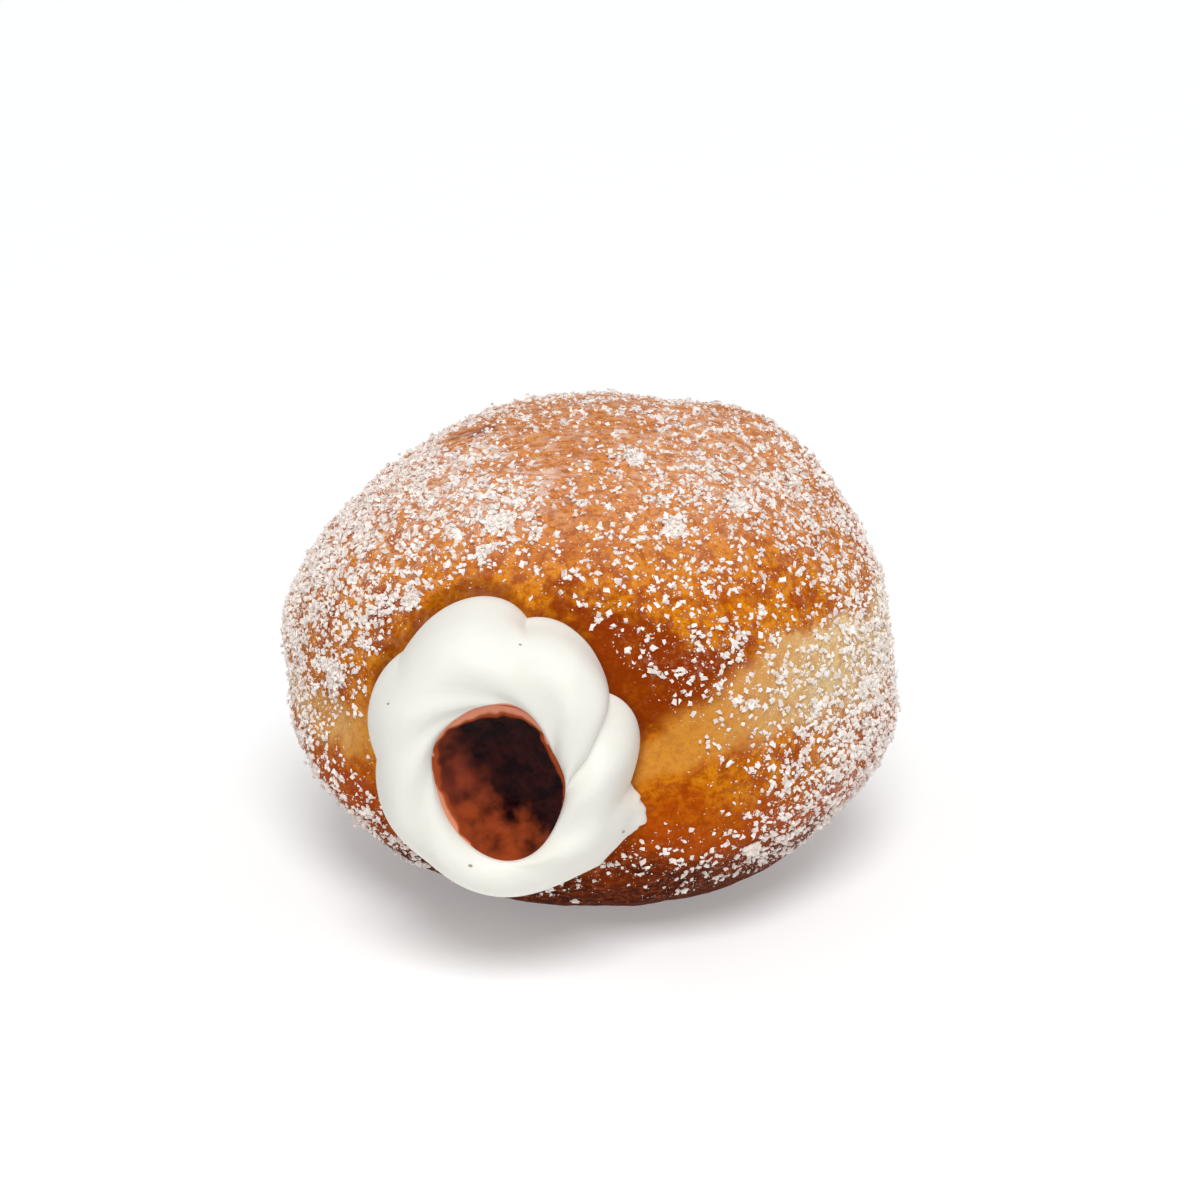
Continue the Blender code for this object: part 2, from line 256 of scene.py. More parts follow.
# How the well's rim departs from an oval: waves round it, the angle of a crest, share of the radius
WELL_WAVES = (
    (1, -105, 0.024),
    (2, 128, 0.058),
    (3, 159, 0.018),
    (4, 78, 0.015),
    (5, 144, 0.020),
)
WELL_FLOOR_SHARE = 0.38
WELL_FLOOR_H = 0.0050
WELL_ROWS = 12
JAM_ROWS = 44
JAM_BELOW_LIP = 0.00003
JAM_HOLLOW = 0.0034
JAM_RIM_FLATNESS = 1.5
JAM_INTO_CREAM = 0.0004
JAM_LUMP_ACROSS = 0.0050
JAM_LUMP_HEIGHT = 0.00035
# The jam's lumps are lower from this share of the well outwards, and gone at its rim
JAM_LUMPS_FROM = 0.3
# The jam smeared on the cream's lip: angle and spread in degrees, greatest width as a share, and the
# share of the width that is solid jam
STAIN_MIDDLE, STAIN_SPREAD = 88, 42
STAIN_WIDTH, STAIN_SOLID = 0.045, 0.35
# The bright bands along the jam's edge, jam smeared thin at the top and a painted highlight along the
# lower left: angle and spread in degrees, width as a share, and brightness
JAM_SMEAR_AND_HIGHLIGHT_BANDS = (
    (94, 42, 0.230, 1.00),
    (28, 40, 0.150, 0.50),
    (172, 30, 0.170, 0.50),
    # A painted highlight along the lower left edge
    (-148, 26, 0.180, 0.85),
)
# How far the bands' inner edge wanders, the size of its bends, the least width of a band, and the
# share of its width that is at full brightness
JAM_BAND_RAGGED, JAM_BAND_LUMP, JAM_BAND_LEAST, JAM_BAND_SOLID = 0.035, 0.0012, 0.020, 0.25
# Which way the thin jam, lit by painted light on the hollow's lower wall, and the reddish jam lie from
# the well's middle
JAM_LIT_SIDE_TOWARDS = math.radians(-108)
JAM_RED_TOWARDS = math.radians(-158)
# Specks on the cream: how far across and how high each lies, its radius, and how all are stretched
SPECKS = (
    (-0.0063, 0.0520, 0.00016),
    (-0.0236, 0.0434, 0.00018),
    (0.0069, 0.0247, 0.00022),
    (-0.0130, 0.0222, 0.00022),
)
SPECK_STRETCH = (1.5, 0.6, 1.0)

# The sugar: how many of each kind, the least and greatest size, how strongly it keeps to the sugary
# places, and how far a crystal's middle stands out of the crust as a share of its size
SUGAR_SEED = 7
COARSE_SIZES = (0.00040, 0.00090)
SUGAR_KINDS = (
    ("sugar_coarse", 11500, COARSE_SIZES, 1.5, 0.18),
    ("sugar_fine", 17000, (0.00018, 0.00040), 1.2, 0.20),
    ("sugar_dust", 24000, (0.00010, 0.00022), 0.9, 0.15),
)
# Small ones are more common than large ones: the two powers of the beta distribution of sizes
SIZE_POWERS = (1.6, 2.2)
# The small clumps: how many, how many crystals in each, how strongly they keep to the sugary places,
# how far they spread, and the least and greatest share of that
CLUMP_COUNT, CLUMP_CRYSTALS, CLUMP_CONTRAST = 1100, 5, 1.4
CLUMP_SPREAD, CLUMP_LEAST, CLUMP_MOST = 0.00048, 0.6, 1.5
# How high a heap of crystals is, as a share of its spread
HEAP_HEIGHT = 0.5
# The radius of a grain and of a chip, as a share of the size
GRAIN_RADIUS, CHIP_RADIUS = 0.62, 0.65
# A crystal's length, breadth and thickness as shares of its size, how it is tipped, and how uneven it is
CRYSTAL_LEAST_SHARES = (0.70, 0.45, 0.28)
CRYSTAL_MOST_SHARES = (1.00, 0.90, 0.55)
CRYSTAL_TIPPED = 0.35
CRYSTAL_UNEVEN = 0.19
# Clumps that stand out: azimuth and latitude in degrees, and radius. Then how many crystals each has
# and how far they spread as a share of the radius
LARGE_CLUMPS = (
    (-142, 7, 0.0021),
    (-125, 25, 0.0010),
    (-64, 64, 0.0015),
    (-111, 44, 0.0012),
    (-42, 45, 0.0011),
    (-64, 43, 0.0012),
    (-52, -24, 0.0009),
    (-25, 2, 0.0010),
)
LARGE_CLUMP_CRYSTALS, LARGE_CLUMP_SPREAD = 120, 0.55

# The noise in the crust's colour and its finest relief: size across, and depth where it is relief too
BROAD_ACROSS = 0.010
MOTTLE_ACROSS, MOTTLE_DEPTH = 0.0026, 0.00035
SPECKLE_ACROSS, SPECKLE_DEPTH = 0.0009, 0.00022
STREAK_ACROSS, STREAK_STRETCH = 0.0013, (0.42, 1.0, 1.0)
# Heights above the floor: the top turns milky with frost and a painted sheen, the underside darkens with
# painted shade, and the foot, in painted shade, is darkest
TOP_FROM, TOP_FULL = 0.052, 0.065
LOW_FULL, LOW_END, LOW_UNEVEN = 0.020, 0.031, 0.003
BOTTOM_FULL, BOTTOM_END = 0.010, 0.021
# How strongly the painted shadow along the cream darkens the crust, and the streaks and the powder
# whiten it
SEAM_SHADOW_DARKENS, STREAKS_WHITEN, POWDER_WHITENS = 0.60, 0.60, 0.08
# The noise in the other finishes, in the same way
CREAM_CLOUD_ACROSS = 0.006
CREAM_GRAIN_ACROSS, CREAM_GRAIN_DEPTH = 0.00035, 0.00003
JAM_PULP_ACROSS, JAM_PULP_DEPTH = 0.0022, 0.0003
JAM_CLOTS_ACROSS = 0.0045
SPECK_GRAIN_ACROSS = 0.0002
CRYSTAL_GRAIN_ACROSS = 0.00025
FLOOR_CLOUD_ACROSS = 0.5

# Colours, as linear red, green and blue. First the fried crust: its sides, a top with a painted sheen,
# an underside in painted shade, and marks
FRIED_GOLD = (0.68, 0.220, 0.004)
FRIED_BROWN = (0.38, 0.060, 0.001)
FRIED_LIGHT = (0.68, 0.235, 0.008)
FRIED_SPECKLE = (0.72, 0.32, 0.045)
# Milky with frost on top, with a painted sheen of the light from above
TOP_FROST_AND_PAINTED_SHEEN = (0.66, 0.275, 0.100)
# Painted shade on the underside
LOW_PAINTED_SHADE = (0.43, 0.056, 0.001)
# Browner crust, and painted shade under the cream and the belly
DARK_CRUST_AND_SHADE = (0.25, 0.033, 0.001)
# Painted shade at the foot, darkest by the floor
FOOT_PAINTED_SHADE = (0.040, 0.005, 0.001)
FRIED_SPOTS = (0.30, 0.050, 0.001)
# The painted shadow along the cream's edge
SEAM_PAINTED_SHADOW = (0.16, 0.022, 0.001)
POWDER_WHITE = (0.82, 0.70, 0.62)
# The pale ring
RING_EDGE_GOLD = (0.56, 0.150, 0.006)
RING_GOLD = (0.68, 0.270, 0.034)
RING_PALE = (0.80, 0.58, 0.28)
RING_MOTTLE = (0.60, 0.24, 0.04)
# The cream, the jam smeared on it, and its specks
CREAM_WHITE = (0.845, 0.835, 0.775)
CREAM_SHADE = (0.825, 0.815, 0.75)
STAIN_FAINT = (0.70, 0.25, 0.17)
STAIN_FULL = (0.40, 0.08, 0.03)
SPECK_BROWN = (0.30, 0.25, 0.17)
SPECK_LIGHT = (0.42, 0.36, 0.26)
# The jam, from its depth to its rim, with painted light on its lower wall and a painted highlight on
# part of its edge
JAM_BLACK = (0.007, 0.001, 0.002)
JAM_DEEP = (0.030, 0.005, 0.004)
JAM_RED = (0.230, 0.038, 0.017)
# Thin jam on the lower wall, lightened by painted light
JAM_THIN_AND_LIT = (0.30, 0.050, 0.012)
# The edge bands: jam smeared on the cream, and a painted highlight
JAM_EDGE_SMEAR_AND_HIGHLIGHT = (0.34, 0.060, 0.014)
JAM_RIM_SMEAR_AND_HIGHLIGHT = (0.82, 0.32, 0.19)
# The sugar and the floor
SUGAR_WHITE = (0.94, 0.89, 0.85)
SUGAR_SHADE = (0.74, 0.66, 0.61)
SUGAR_GRAIN = (0.90, 0.78, 0.70)
FLOOR_WHITE = (0.940, 0.948, 0.950)
FLOOR_CLOUD = (0.950, 0.958, 0.960)

# The camera and the light
CAMERA_AZIMUTH = math.radians(3)
CAMERA_ELEVATION = math.radians(20)
CAMERA_DISTANCE = 0.479
CAMERA_AIM = Vector((0.001435, 0.000075, 0.0408))
CAMERA_LENS = 100
KEY_AZIMUTH = math.radians(6)
KEY_ELEVATION = math.radians(52)
KEY_STRENGTH = 1.95
KEY_ANGLE = math.radians(26)
FILL_STRENGTH = 1.00
SKY_STRENGTH = 0.26
FLOOR_SIZE = 5.0


def direction(azimuth, latitude):
    """The unit vector at this azimuth from +X and this latitude above level, in degrees."""
    azimuth, latitude = math.radians(azimuth), math.radians(latitude)
    level = math.cos(latitude)
    return Vector((level * math.cos(azimuth), level * math.sin(azimuth), math.sin(latitude)))


def smooth_step(value, low, high):
    """0 below low, 1 above high, and a smooth rise between them."""
    share = min(1.0, max(0.0, (value - low) / (high - low)))
    return share * share * (3 - 2 * share)


def patches(towards, table):
    """The sum of these patches in this direction."""
    total = 0.0
    for azimuth, latitude, spread, amount in table:
        off = towards.angle(direction(azimuth, latitude)) / math.radians(spread)
        if off < PATCH_REACH:
            total += amount * math.exp(-off * off)
    return total


def object_from(name, shape, replaced=None):
    """A new piece that takes over a bmesh, with its doubles merged and its faces turned outwards."""
    bmesh.ops.remove_doubles(shape, verts=shape.verts, dist=MERGE)
    bmesh.ops.recalc_face_normals(shape, faces=shape.faces)
    if shape.calc_volume(signed=True) < 0:
        bmesh.ops.reverse_faces(shape, faces=shape.faces)
    mesh = bpy.data.meshes.new(name)
    shape.to_mesh(mesh)
    shape.free()
    mesh.shade_smooth()
    return placed(name, mesh, replaced)


def placed(name, mesh, replaced=None):
    """The piece for a mesh, riding on the doughnut's body."""
    piece = bpy.data.objects.new(name, mesh)
    bpy.context.scene.collection.objects.link(piece)
    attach(piece, BODY)
    if replaced:
        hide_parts(replaced)
    return piece


def set_field(mesh, name, values):
    """A number at each point, for the material to read."""
    attribute = mesh.attributes.new(name, "FLOAT", "POINT")
    attribute.data.foreach_set("value", np.asarray(values, np.float32))


# The crust


def ring_groove(towards):
    """The share of the radius that the pale ring's groove takes away in this direction."""
    azimuth = math.atan2(towards.y, towards.x)
    middle = RING_TILT * math.cos(azimuth - RING_TILT_TOWARDS)
    off = (math.asin(max(-1.0, min(1.0, towards.z))) - middle) / RING_GROOVE_SPREAD
    return RING_GROOVE_SHARE * math.exp(-off * off)


def bulge(towards):
    """The height of the bulges and hollows in this direction."""
    return LUMP_HEIGHT * noise.noise(towards * LUMPS_ACROSS) + patches(towards, BULGES)


def fine_relief(towards):
    """Dimples and pores all over, and stretched wrinkles on top."""
    place = towards * DOUGH_RADIUS
    height = DIMPLE_HEIGHT * noise.noise(place / DIMPLE_ACROSS)
    height += PORE_HEIGHT * noise.noise(place / PORE_ACROSS)
    latitude = math.degrees(math.asin(max(-1.0, min(1.0, towards.z))))
    on_top = smooth_step(latitude, WRINKLES_FROM, WRINKLES_FULL)
    if on_top > 0:
        along = Vector((place.x / WRINKLE_LENGTH, place.y / WRINKLE_ACROSS, place.z / WRINKLE_ACROSS))
        height += on_top * WRINKLE_HEIGHT * noise.noise(along)
    return height


def crust_point(towards, proud=0.0):
    """The crust's point in this direction from the dough's middle, or one that stands proud of it."""
    level = math.hypot(towards.x, towards.y) / DOUGH_RADIUS
    upright = abs(towards.z) / DOUGH_HALF_HEIGHT
    reach = (level**DOUGH_SQUARENESS + upright**DOUGH_SQUARENESS) ** (-1 / DOUGH_SQUARENESS)
    reach *= 1 - ring_groove(towards)
    point = towards * (reach + bulge(towards) + proud)
    point.z += DOUGH_MIDDLE_Z
    if point.y < 0:
        off = math.hypot(point.x - FILL_X, point.z - FILL_Z) / DENT_SPREAD
        point.y += DENT_DEPTH * math.exp(-off * off)
    point.z = max(point.z, 0.0)
    return point


def ring_share(towards):
    """1 in the pale ring and 0 outside it, with a ragged edge."""
    azimuth = math.degrees(math.atan2(towards.y, towards.x))
    latitude = math.degrees(math.asin(max(-1.0, min(1.0, towards.z))))
    lean = math.cos(math.radians(azimuth - RING_LEAN_TOWARDS))
    middle = RING_MIDDLE + RING_LEAN * lean
    half = RING_HALF + RING_HALF_MORE * lean
    middle += sum(size * math.exp(-(((azimuth - at) / spread) ** 2)) for at, spread, size in RING_DIPS)
    half -= RING_NARROW_BY * math.exp(-(((azimuth - RING_NARROW_AT) / RING_NARROW_SPREAD) ** 2))
    ragged = sum(height * noise.noise(towards * waves) for waves, height in RING_RAGS)
    return 1 - smooth_step(abs(latitude - middle) + ragged, half - RING_EDGE, half + RING_EDGE)


def sugar_cover(towards, point):
    """How much of the crust the sugar covers here, from 0 to 1."""
    cover = SUGAR_BASE + patches(towards, SUGAR_PATCHES)
    cover += COVER_PATCHY * noise.noise(towards * COVER_PATCHES_ACROSS)
    cover += COVER_MOTTLED * noise.noise(towards * COVER_MOTTLES_ACROSS)
    if point.y < 0:
        off = math.hypot(point.x - FILL_X, point.z - FILL_Z)
        cover *= smooth_step(off, SUGAR_NEAR_CREAM, SUGAR_FAR_FROM_CREAM)
    cover *= smooth_step(point.z, FOOT_BARE, FOOT_CLEAR)
    return min(1.0, max(0.0, cover))


def seam_shadow_share(point):
    """1 on the painted shadow along the cream, a dark line on the crust, fading to 0 about a millimetre
    out.
    """
    if point.y > 0:
        return 0.0
    across, up = point.x - FILL_X, point.z - FILL_Z
    angle = math.atan2(up, across)
    out = math.hypot(across, up) - half_breadth(angle, 0.0) - lobe_height(angle, 0.0)
    return 1 - smooth_step(out, 0.0, SEAM_SHADOW_END)


def make_dough():
    """The crust: a cube's faces cut fine, and each point moved out to the crust's form."""
    ball = bmesh.new()
    bmesh.ops.create_cube(ball, size=2.0)
    bmesh.ops.subdivide_edges(ball, edges=ball.edges, cuts=DOUGH_CUTS, use_grid_fill=True)
    names = ("ring", "pale", "dark_crust_and_shade", "frost", "sugar", "seam_shadow")
    layers = {name: ball.verts.layers.float.new(name) for name in names}
    for vertex in ball.verts:
        towards = Vector([math.tan(side * math.pi / 4) for side in vertex.co]).normalized()
        point = crust_point(towards, fine_relief(towards))
        vertex.co = point
        vertex[layers["ring"]] = ring_share(towards)
        vertex[layers["pale"]] = min(1.0, patches(towards, PALE_PATCHES))
        # Browner crust, and painted shade low down
        vertex[layers["dark_crust_and_shade"]] = min(1.0, patches(towards, DARK_CRUST_AND_SHADE_PATCHES))
        vertex[layers["frost"]] = min(1.0, patches(towards, FROST_PATCHES))
        vertex[layers["sugar"]] = sugar_cover(towards, point)
        # The painted shadow along the cream's edge
        vertex[layers["seam_shadow"]] = seam_shadow_share(point)
    return object_from("crust", ball, "dough")


# The cream and the jam


def lobe_height(start, progress):
    """How far the lobe at this angle of the outline stands out here, below zero in a groove.

    The grooves are sharp at the outline and soft on the front, where one keeps a crisp edge.
    """
    first = LOBES[0][0]
    degrees = (math.degrees(start) - first) % 360 + first
    grooves = [*LOBES, (first + 360, *LOBES[0][1:])]
    near, far = next(pair for pair in zip(grooves, grooves[1:]) if degrees <= pair[1][0])
    at, dip, lobe, front_dip, front_lobe = near
    next_at, next_dip, _, next_front_dip, _ = far
    share = (degrees - at) / (next_at - at)
    side = abs(2 * share - 1)
    sharp = side**GROOVE_SHARPNESS
    soft = side * side * (3 - 2 * side)
    if at == CRISP_GROOVE and share < 0.5:
        soft = side**CRISP_SHARPNESS
    outline = lobe * (1 - sharp) - (dip + (next_dip - dip) * share) * sharp
    front = front_lobe * (1 - soft) - (front_dip + (next_front_dip - front_dip) * share) * soft
    on_front = 0.5 - 0.5 * math.cos(math.pi * min(1.0, progress / FRONT_FROM_PROGRESS))
    return outline + (front - outline) * on_front


def groove_turn(start):
    """How far a groove that starts at this angle turns on its way in to the well."""
    return GROOVE_TURN + GROOVE_TURN_SWING * math.cos(start - GROOVE_TURN_MOST_AT)


def well_wave(angle):
    """How far the well's uneven rim lies outside its plain oval, as a share of the radius."""
    waves = (size * math.cos(count * (angle - math.radians(crest))) for count, crest, size in WELL_WAVES)
    return sum(waves)


def tail_at(angle, h):
    """How far the loose end of the cream reaches past the outline."""
    off_angle = abs((angle - TAIL_ANGLE + math.pi) % (2 * math.pi) - math.pi) / TAIL_SPREAD
    off_h = (h - TAIL_H) / TAIL_THICKNESS
    reach = TAIL_REACH * max(0.0, 1 - off_angle)
    if reach > 0:
        reach += TAIL_RAGGED * noise.noise(Vector((angle * TAIL_RAGS_ROUND, h * TAIL_RAGS_OUT, 0)))
    return reach * math.exp(-off_h * off_h)


def half_breadth(angle, progress):
    """The plain radius at this angle: the outline's, and further in one that suits the taller well."""
    across = math.cos(angle) / CREAM_HALF_WIDTH
    up = math.sin(angle) / (CREAM_HALF_HEIGHT * (1 + WELL_TALLER_SHARE * progress**2))
    return 1 / math.hypot(across, up)


def swirl_point(start, share, h, progress, out, forward):
    """Puts a point of the turned profile on the swirl, with its lobes, its sag and its loose end."""
    angle = start - groove_turn(start) * progress**GROOVE_TURN_POWER
    lobe = lobe_height(start, progress)
    past_crest = max(0.0, (progress - CREST_PROGRESS) / (1 - CREST_PROGRESS))
    radius = half_breadth(angle, progress) * share * (1 + well_wave(angle) * past_crest) + lobe * out
    if out > 0:
        radius += tail_at(angle, h)
    return Vector(
        (
            FILL_X + radius * math.cos(angle),
            CREAM_BASE_Y - h - lobe * forward,
            FILL_Z + radius * math.sin(angle) - SWIRL_SAG * progress**2,
        )
    )


def cream_ripple(start, progress):
    """Soft waves and faint streaks that run with the lobes."""
    around = Vector((math.cos(start), math.sin(start), 0.0))
    along = Vector((0.0, 0.0, progress))
    wave = noise.noise(around * CREAM_WAVES_ROUND + along * CREAM_WAVES_ALONG)
    streak = noise.noise(around * CREAM_STREAKS_ROUND + along * CREAM_STREAKS_ALONG)
    return CREAM_WAVE_HEIGHT * wave + CREAM_STREAK_HEIGHT * streak


def swirl_profile():
    """The rows of the swirl from its back, over its crest, to the floor of the jam's well."""
    outer = 1 - CREST_SHARE
    rows = [(0.0, SWIRL_BACK_H, 0.0, 0.0, 0.0)]
    rows.append((CREST_SHARE + outer * math.cos(UNDERSIDE_FIRST_TURN), SWIRL_BACK_H, 0.0, 1.0, 0.0))
    for row in range(UNDERSIDE_ROWS):
        turn = UNDERSIDE_FIRST_TURN * (1 - row / UNDERSIDE_ROWS)
        share = CREST_SHARE + outer * math.cos(turn)
        rows.append((share, WIDEST_H - UNDERSIDE_DEPTH * math.sin(turn), 0.0, 1.0, 0.0))
    all_rows = OUTER_ROWS + INNER_ROWS
    for row in range(OUTER_ROWS + 1):
        turn = math.radians(90) * row / OUTER_ROWS
        share = CREST_SHARE + outer * math.cos(turn) ** OUTER_FULLNESS
        h = WIDEST_H + (CREST_H - WIDEST_H) * math.sin(turn) ** OUTER_FULLNESS
        rows.append((share, h, progress_at(row, all_rows), math.cos(turn), math.sin(turn)))
    for row in range(1, INNER_ROWS + 1):
        turn = math.radians(90) * row / INNER_ROWS
        share = CREST_SHARE - (CREST_SHARE - WELL_SHARE) * math.sin(turn)
        h = CREST_H - LIP_DROP * (1 - math.cos(turn))
        rows.append((share, h, progress_at(OUTER_ROWS + row, all_rows), 0.0, math.cos(turn)))
    for row in range(1, WELL_ROWS + 1):
        down = row / WELL_ROWS
        share = WELL_SHARE + (WELL_FLOOR_SHARE - WELL_SHARE) * down
        h = CREST_H - LIP_DROP + (WELL_FLOOR_H - CREST_H + LIP_DROP) * down
        rows.append((share, h, 1.0, 0.0, 0.0))
    rows.append((0.0, WELL_FLOOR_H, 1.0, 0.0, 0.0))
    return rows


def progress_at(row, rows):
    """How far this row lies on the way from the outline, 0, over the crest to the well, 1."""
    if row <= OUTER_ROWS:
        return CREST_PROGRESS * row / OUTER_ROWS
    return CREST_PROGRESS + (1 - CREST_PROGRESS) * (row - OUTER_ROWS) / (rows - OUTER_ROWS)


def jam_profile():
    """The rows of the jam from its hidden back to the middle of its hollow front."""
    rim_h = CREST_H - LIP_DROP - JAM_BELOW_LIP
    rim_share = WELL_SHARE + JAM_INTO_CREAM / CREAM_HALF_WIDTH
    rows = [(0.0, WELL_FLOOR_H, 1.0, 0.0, 0.0), (WELL_FLOOR_SHARE, WELL_FLOOR_H, 1.0, 0.0, 0.0)]
    for row in range(JAM_ROWS + 1):
        inwards = 1 - row / JAM_ROWS
        hollow = JAM_HOLLOW * (1 - inwards**2) ** JAM_RIM_FLATNESS
        rows.append((rim_share * inwards, rim_h - hollow, 1.0, 0.0, 0.0))
    return rows


def spun(profile, finish_point):
    """A body turned about the swirl's axis from rows of (share, h, progress, out, forward)."""
    shape = bmesh.new()
    names = ("progress", "out", "forward")
    layers = [shape.verts.layers.float.new(name) for name in names]
    line = []
    for share, h, *ways in profile:
        vertex = shape.verts.new((share, -h, 0.0))
        for layer, way in zip(layers, ways):
            vertex[layer] = way
        line.append(vertex)
    edges = [shape.edges.new(pair) for pair in zip(line, line[1:])]
    bmesh.ops.spin(
        shape,
        geom=line + edges,
        cent=(0, 0, 0),
        axis=(0, 1, 0),
        angle=2 * math.pi,
        steps=SWIRL_COLUMNS,
        use_merge=True,
    )
    for vertex in shape.verts:
        start = math.atan2(vertex.co.z, vertex.co.x)
        share = math.hypot(vertex.co.x, vertex.co.z)
        h = -vertex.co.y
        ways = [vertex[layer] for layer in layers]
        vertex.co = swirl_point(start, share, h, *ways)
        finish_point(vertex, start, share, h, ways)
    return shape


def place_in_well(point):
    """A point's angle about the well's axis, in degrees, and its distance as a share of the swirl's."""
    across, up = point.x - FILL_X, point.z - FILL_Z + SWIRL_SAG
    angle = math.atan2(up, across)
    share = math.hypot(across, up) / (half_breadth(angle, 1.0) * (1 + well_wave(angle)))
    return math.degrees(angle), share


def peak(angle, middle, spread):
    """1 at this angle, falling to 0 on both sides of it, all in degrees."""
    off = ((angle - middle + 180) % 360 - 180) / spread
    return math.exp(-off * off)


def stain_at(point):
    """How much jam has smeared on the cream here: a band on the well's lip, widest at the top."""
    if point.y > CREAM_BASE_Y - WELL_FLOOR_H:
        return 0.0
    angle, share = place_in_well(point)
    most = peak(angle, STAIN_MIDDLE, STAIN_SPREAD)
    wide = STAIN_WIDTH * most
    return most * (1 - smooth_step(share - WELL_SHARE, STAIN_SOLID * wide, wide + MERGE))


def make_cream():
    """The piped swirl, with the jam's stain marked on it."""

    def ripple(vertex, start, share, h, ways):
        if share > WELL_SHARE and h > 0:
            vertex.co.y -= cream_ripple(start, ways[0])

    cream = object_from("piped_cream", spun(swirl_profile(), ripple), "cream")
    set_field(cream.data, "stain", [stain_at(vertex.co) for vertex in cream.data.vertices])
    return cream


def make_specks(cream):
    """A few tiny specks on the front of the cream."""
    specks = bmesh.new()
    front = [vertex.co for vertex in cream.data.vertices if vertex.co.y < CREAM_BASE_Y]
    for across, up, radius in SPECKS:
        middle = min(front, key=lambda place: math.hypot(place.x - across, place.z - up))
        place = Matrix.Translation(middle) @ Matrix.Diagonal((*SPECK_STRETCH, 1.0))
        bmesh.ops.create_icosphere(specks, subdivisions=2, radius=radius, matrix=place)
    return object_from("cream_specks", specks)


def make_jam():
    """The jam, marked for its finish: the bright edge of smear and painted highlight, and how far to the
    low side, where light is painted, and to the red side.
    """

    def lumps(vertex, start, share, h, ways):
        inside = 1 - smooth_step(share, JAM_LUMPS_FROM * WELL_SHARE, WELL_SHARE)
        vertex.co.y -= inside * JAM_LUMP_HEIGHT * noise.noise(vertex.co / JAM_LUMP_ACROSS)

    jam = object_from("jam_well", spun(jam_profile(), lumps), "jam")
    smear_and_highlight, low, red = [], [], []
    for vertex in jam.data.vertices:
        angle, share = place_in_well(vertex.co)
        share /= WELL_SHARE
        share += JAM_BAND_RAGGED * noise.noise(vertex.co / JAM_BAND_LUMP)
        band = 0.0
        for middle, spread, width, bright in JAM_SMEAR_AND_HIGHLIGHT_BANDS:
            wide = width * peak(angle, middle, spread)
            if wide > JAM_BAND_LEAST:
                band = max(band, bright * smooth_step(share, 1 - wide, 1 - JAM_BAND_SOLID * wide))
        smear_and_highlight.append(band)
        # Towards the lower wall, where light is painted
        low.append(share * math.cos(math.radians(angle) - JAM_LIT_SIDE_TOWARDS))
        red.append(share * math.cos(math.radians(angle) - JAM_RED_TOWARDS))
    set_field(jam.data, "smear_and_highlight", smear_and_highlight)
    set_field(jam.data, "low", low)
    set_field(jam.data, "red", red)
    return jam


# The sugar


def crystal_block():
    """A plain block, the coarse crystal."""
    shape = bmesh.new()
    bmesh.ops.create_cube(shape, size=1.0)
    return shape


def crystal_grain():
    """A small grain with eight faces."""
    shape = bmesh.new()
    bmesh.ops.create_uvsphere(shape, u_segments=4, v_segments=2, radius=GRAIN_RADIUS)
    return shape


def crystal_chip():
    """A speck of broken crystal with four faces."""
    shape = bmesh.new()
    bmesh.ops.create_cone(shape, cap_ends=True, segments=3, radius1=CHIP_RADIUS, radius2=0.0, depth=1.0)
    return shape


def corners_of(shape):
    """The points and the faces of a small shape, as arrays."""
    shape.verts.index_update()
    points = np.array([vertex.co for vertex in shape.verts])
    faces = [[vertex.index for vertex in face.verts] for face in shape.faces]
    shape.free()
    return points, np.array(faces)


def lying_turns(rng, normals):
    """Turning matrices that lay each crystal on the crust, tipped a little and spun at random."""
    up = normals + CRYSTAL_TIPPED * rng.normal(size=normals.shape)
    up /= np.linalg.norm(up, axis=1, keepdims=True)
    along = np.cross(up, rng.normal(size=normals.shape))
    along /= np.linalg.norm(along, axis=1, keepdims=True)
    return np.stack([along, np.cross(up, along), up], axis=2)


def crust_faces(crust):
    """The crust's triangles: corners, outward normals, areas and the sugar on each."""
    mesh = crust.data
    mesh.calc_loop_triangles()
    points = np.empty(len(mesh.vertices) * 3, np.float32)
    mesh.vertices.foreach_get("co", points)
    index = np.empty(len(mesh.loop_triangles) * 3, np.int32)
    mesh.loop_triangles.foreach_get("vertices", index)
    cover = np.empty(len(mesh.vertices), np.float32)
    mesh.attributes["sugar"].data.foreach_get("value", cover)
    index = index.reshape(-1, 3)
    corners = points.reshape(-1, 3).astype(float)[index]
    across = np.cross(corners[:, 1] - corners[:, 0], corners[:, 2] - corners[:, 0])
    double_area = np.linalg.norm(across, axis=1)
    normals = across / np.maximum(double_area, LEAST_AREA)[:, None]
    return corners, normals, double_area, cover[index].mean(axis=1)


def scatter(rng, faces, count, contrast):
    """Places on the crust and the way out of it there, thick where the sugar is."""
    corners, normals, area, cover = faces
    weight = area * cover**contrast
    chosen = rng.choice(len(weight), size=count, p=weight / weight.sum())
    shares = rng.dirichlet((1, 1, 1), size=count)
    return np.einsum("nk,nkd->nd", shares, corners[chosen]), normals[chosen]


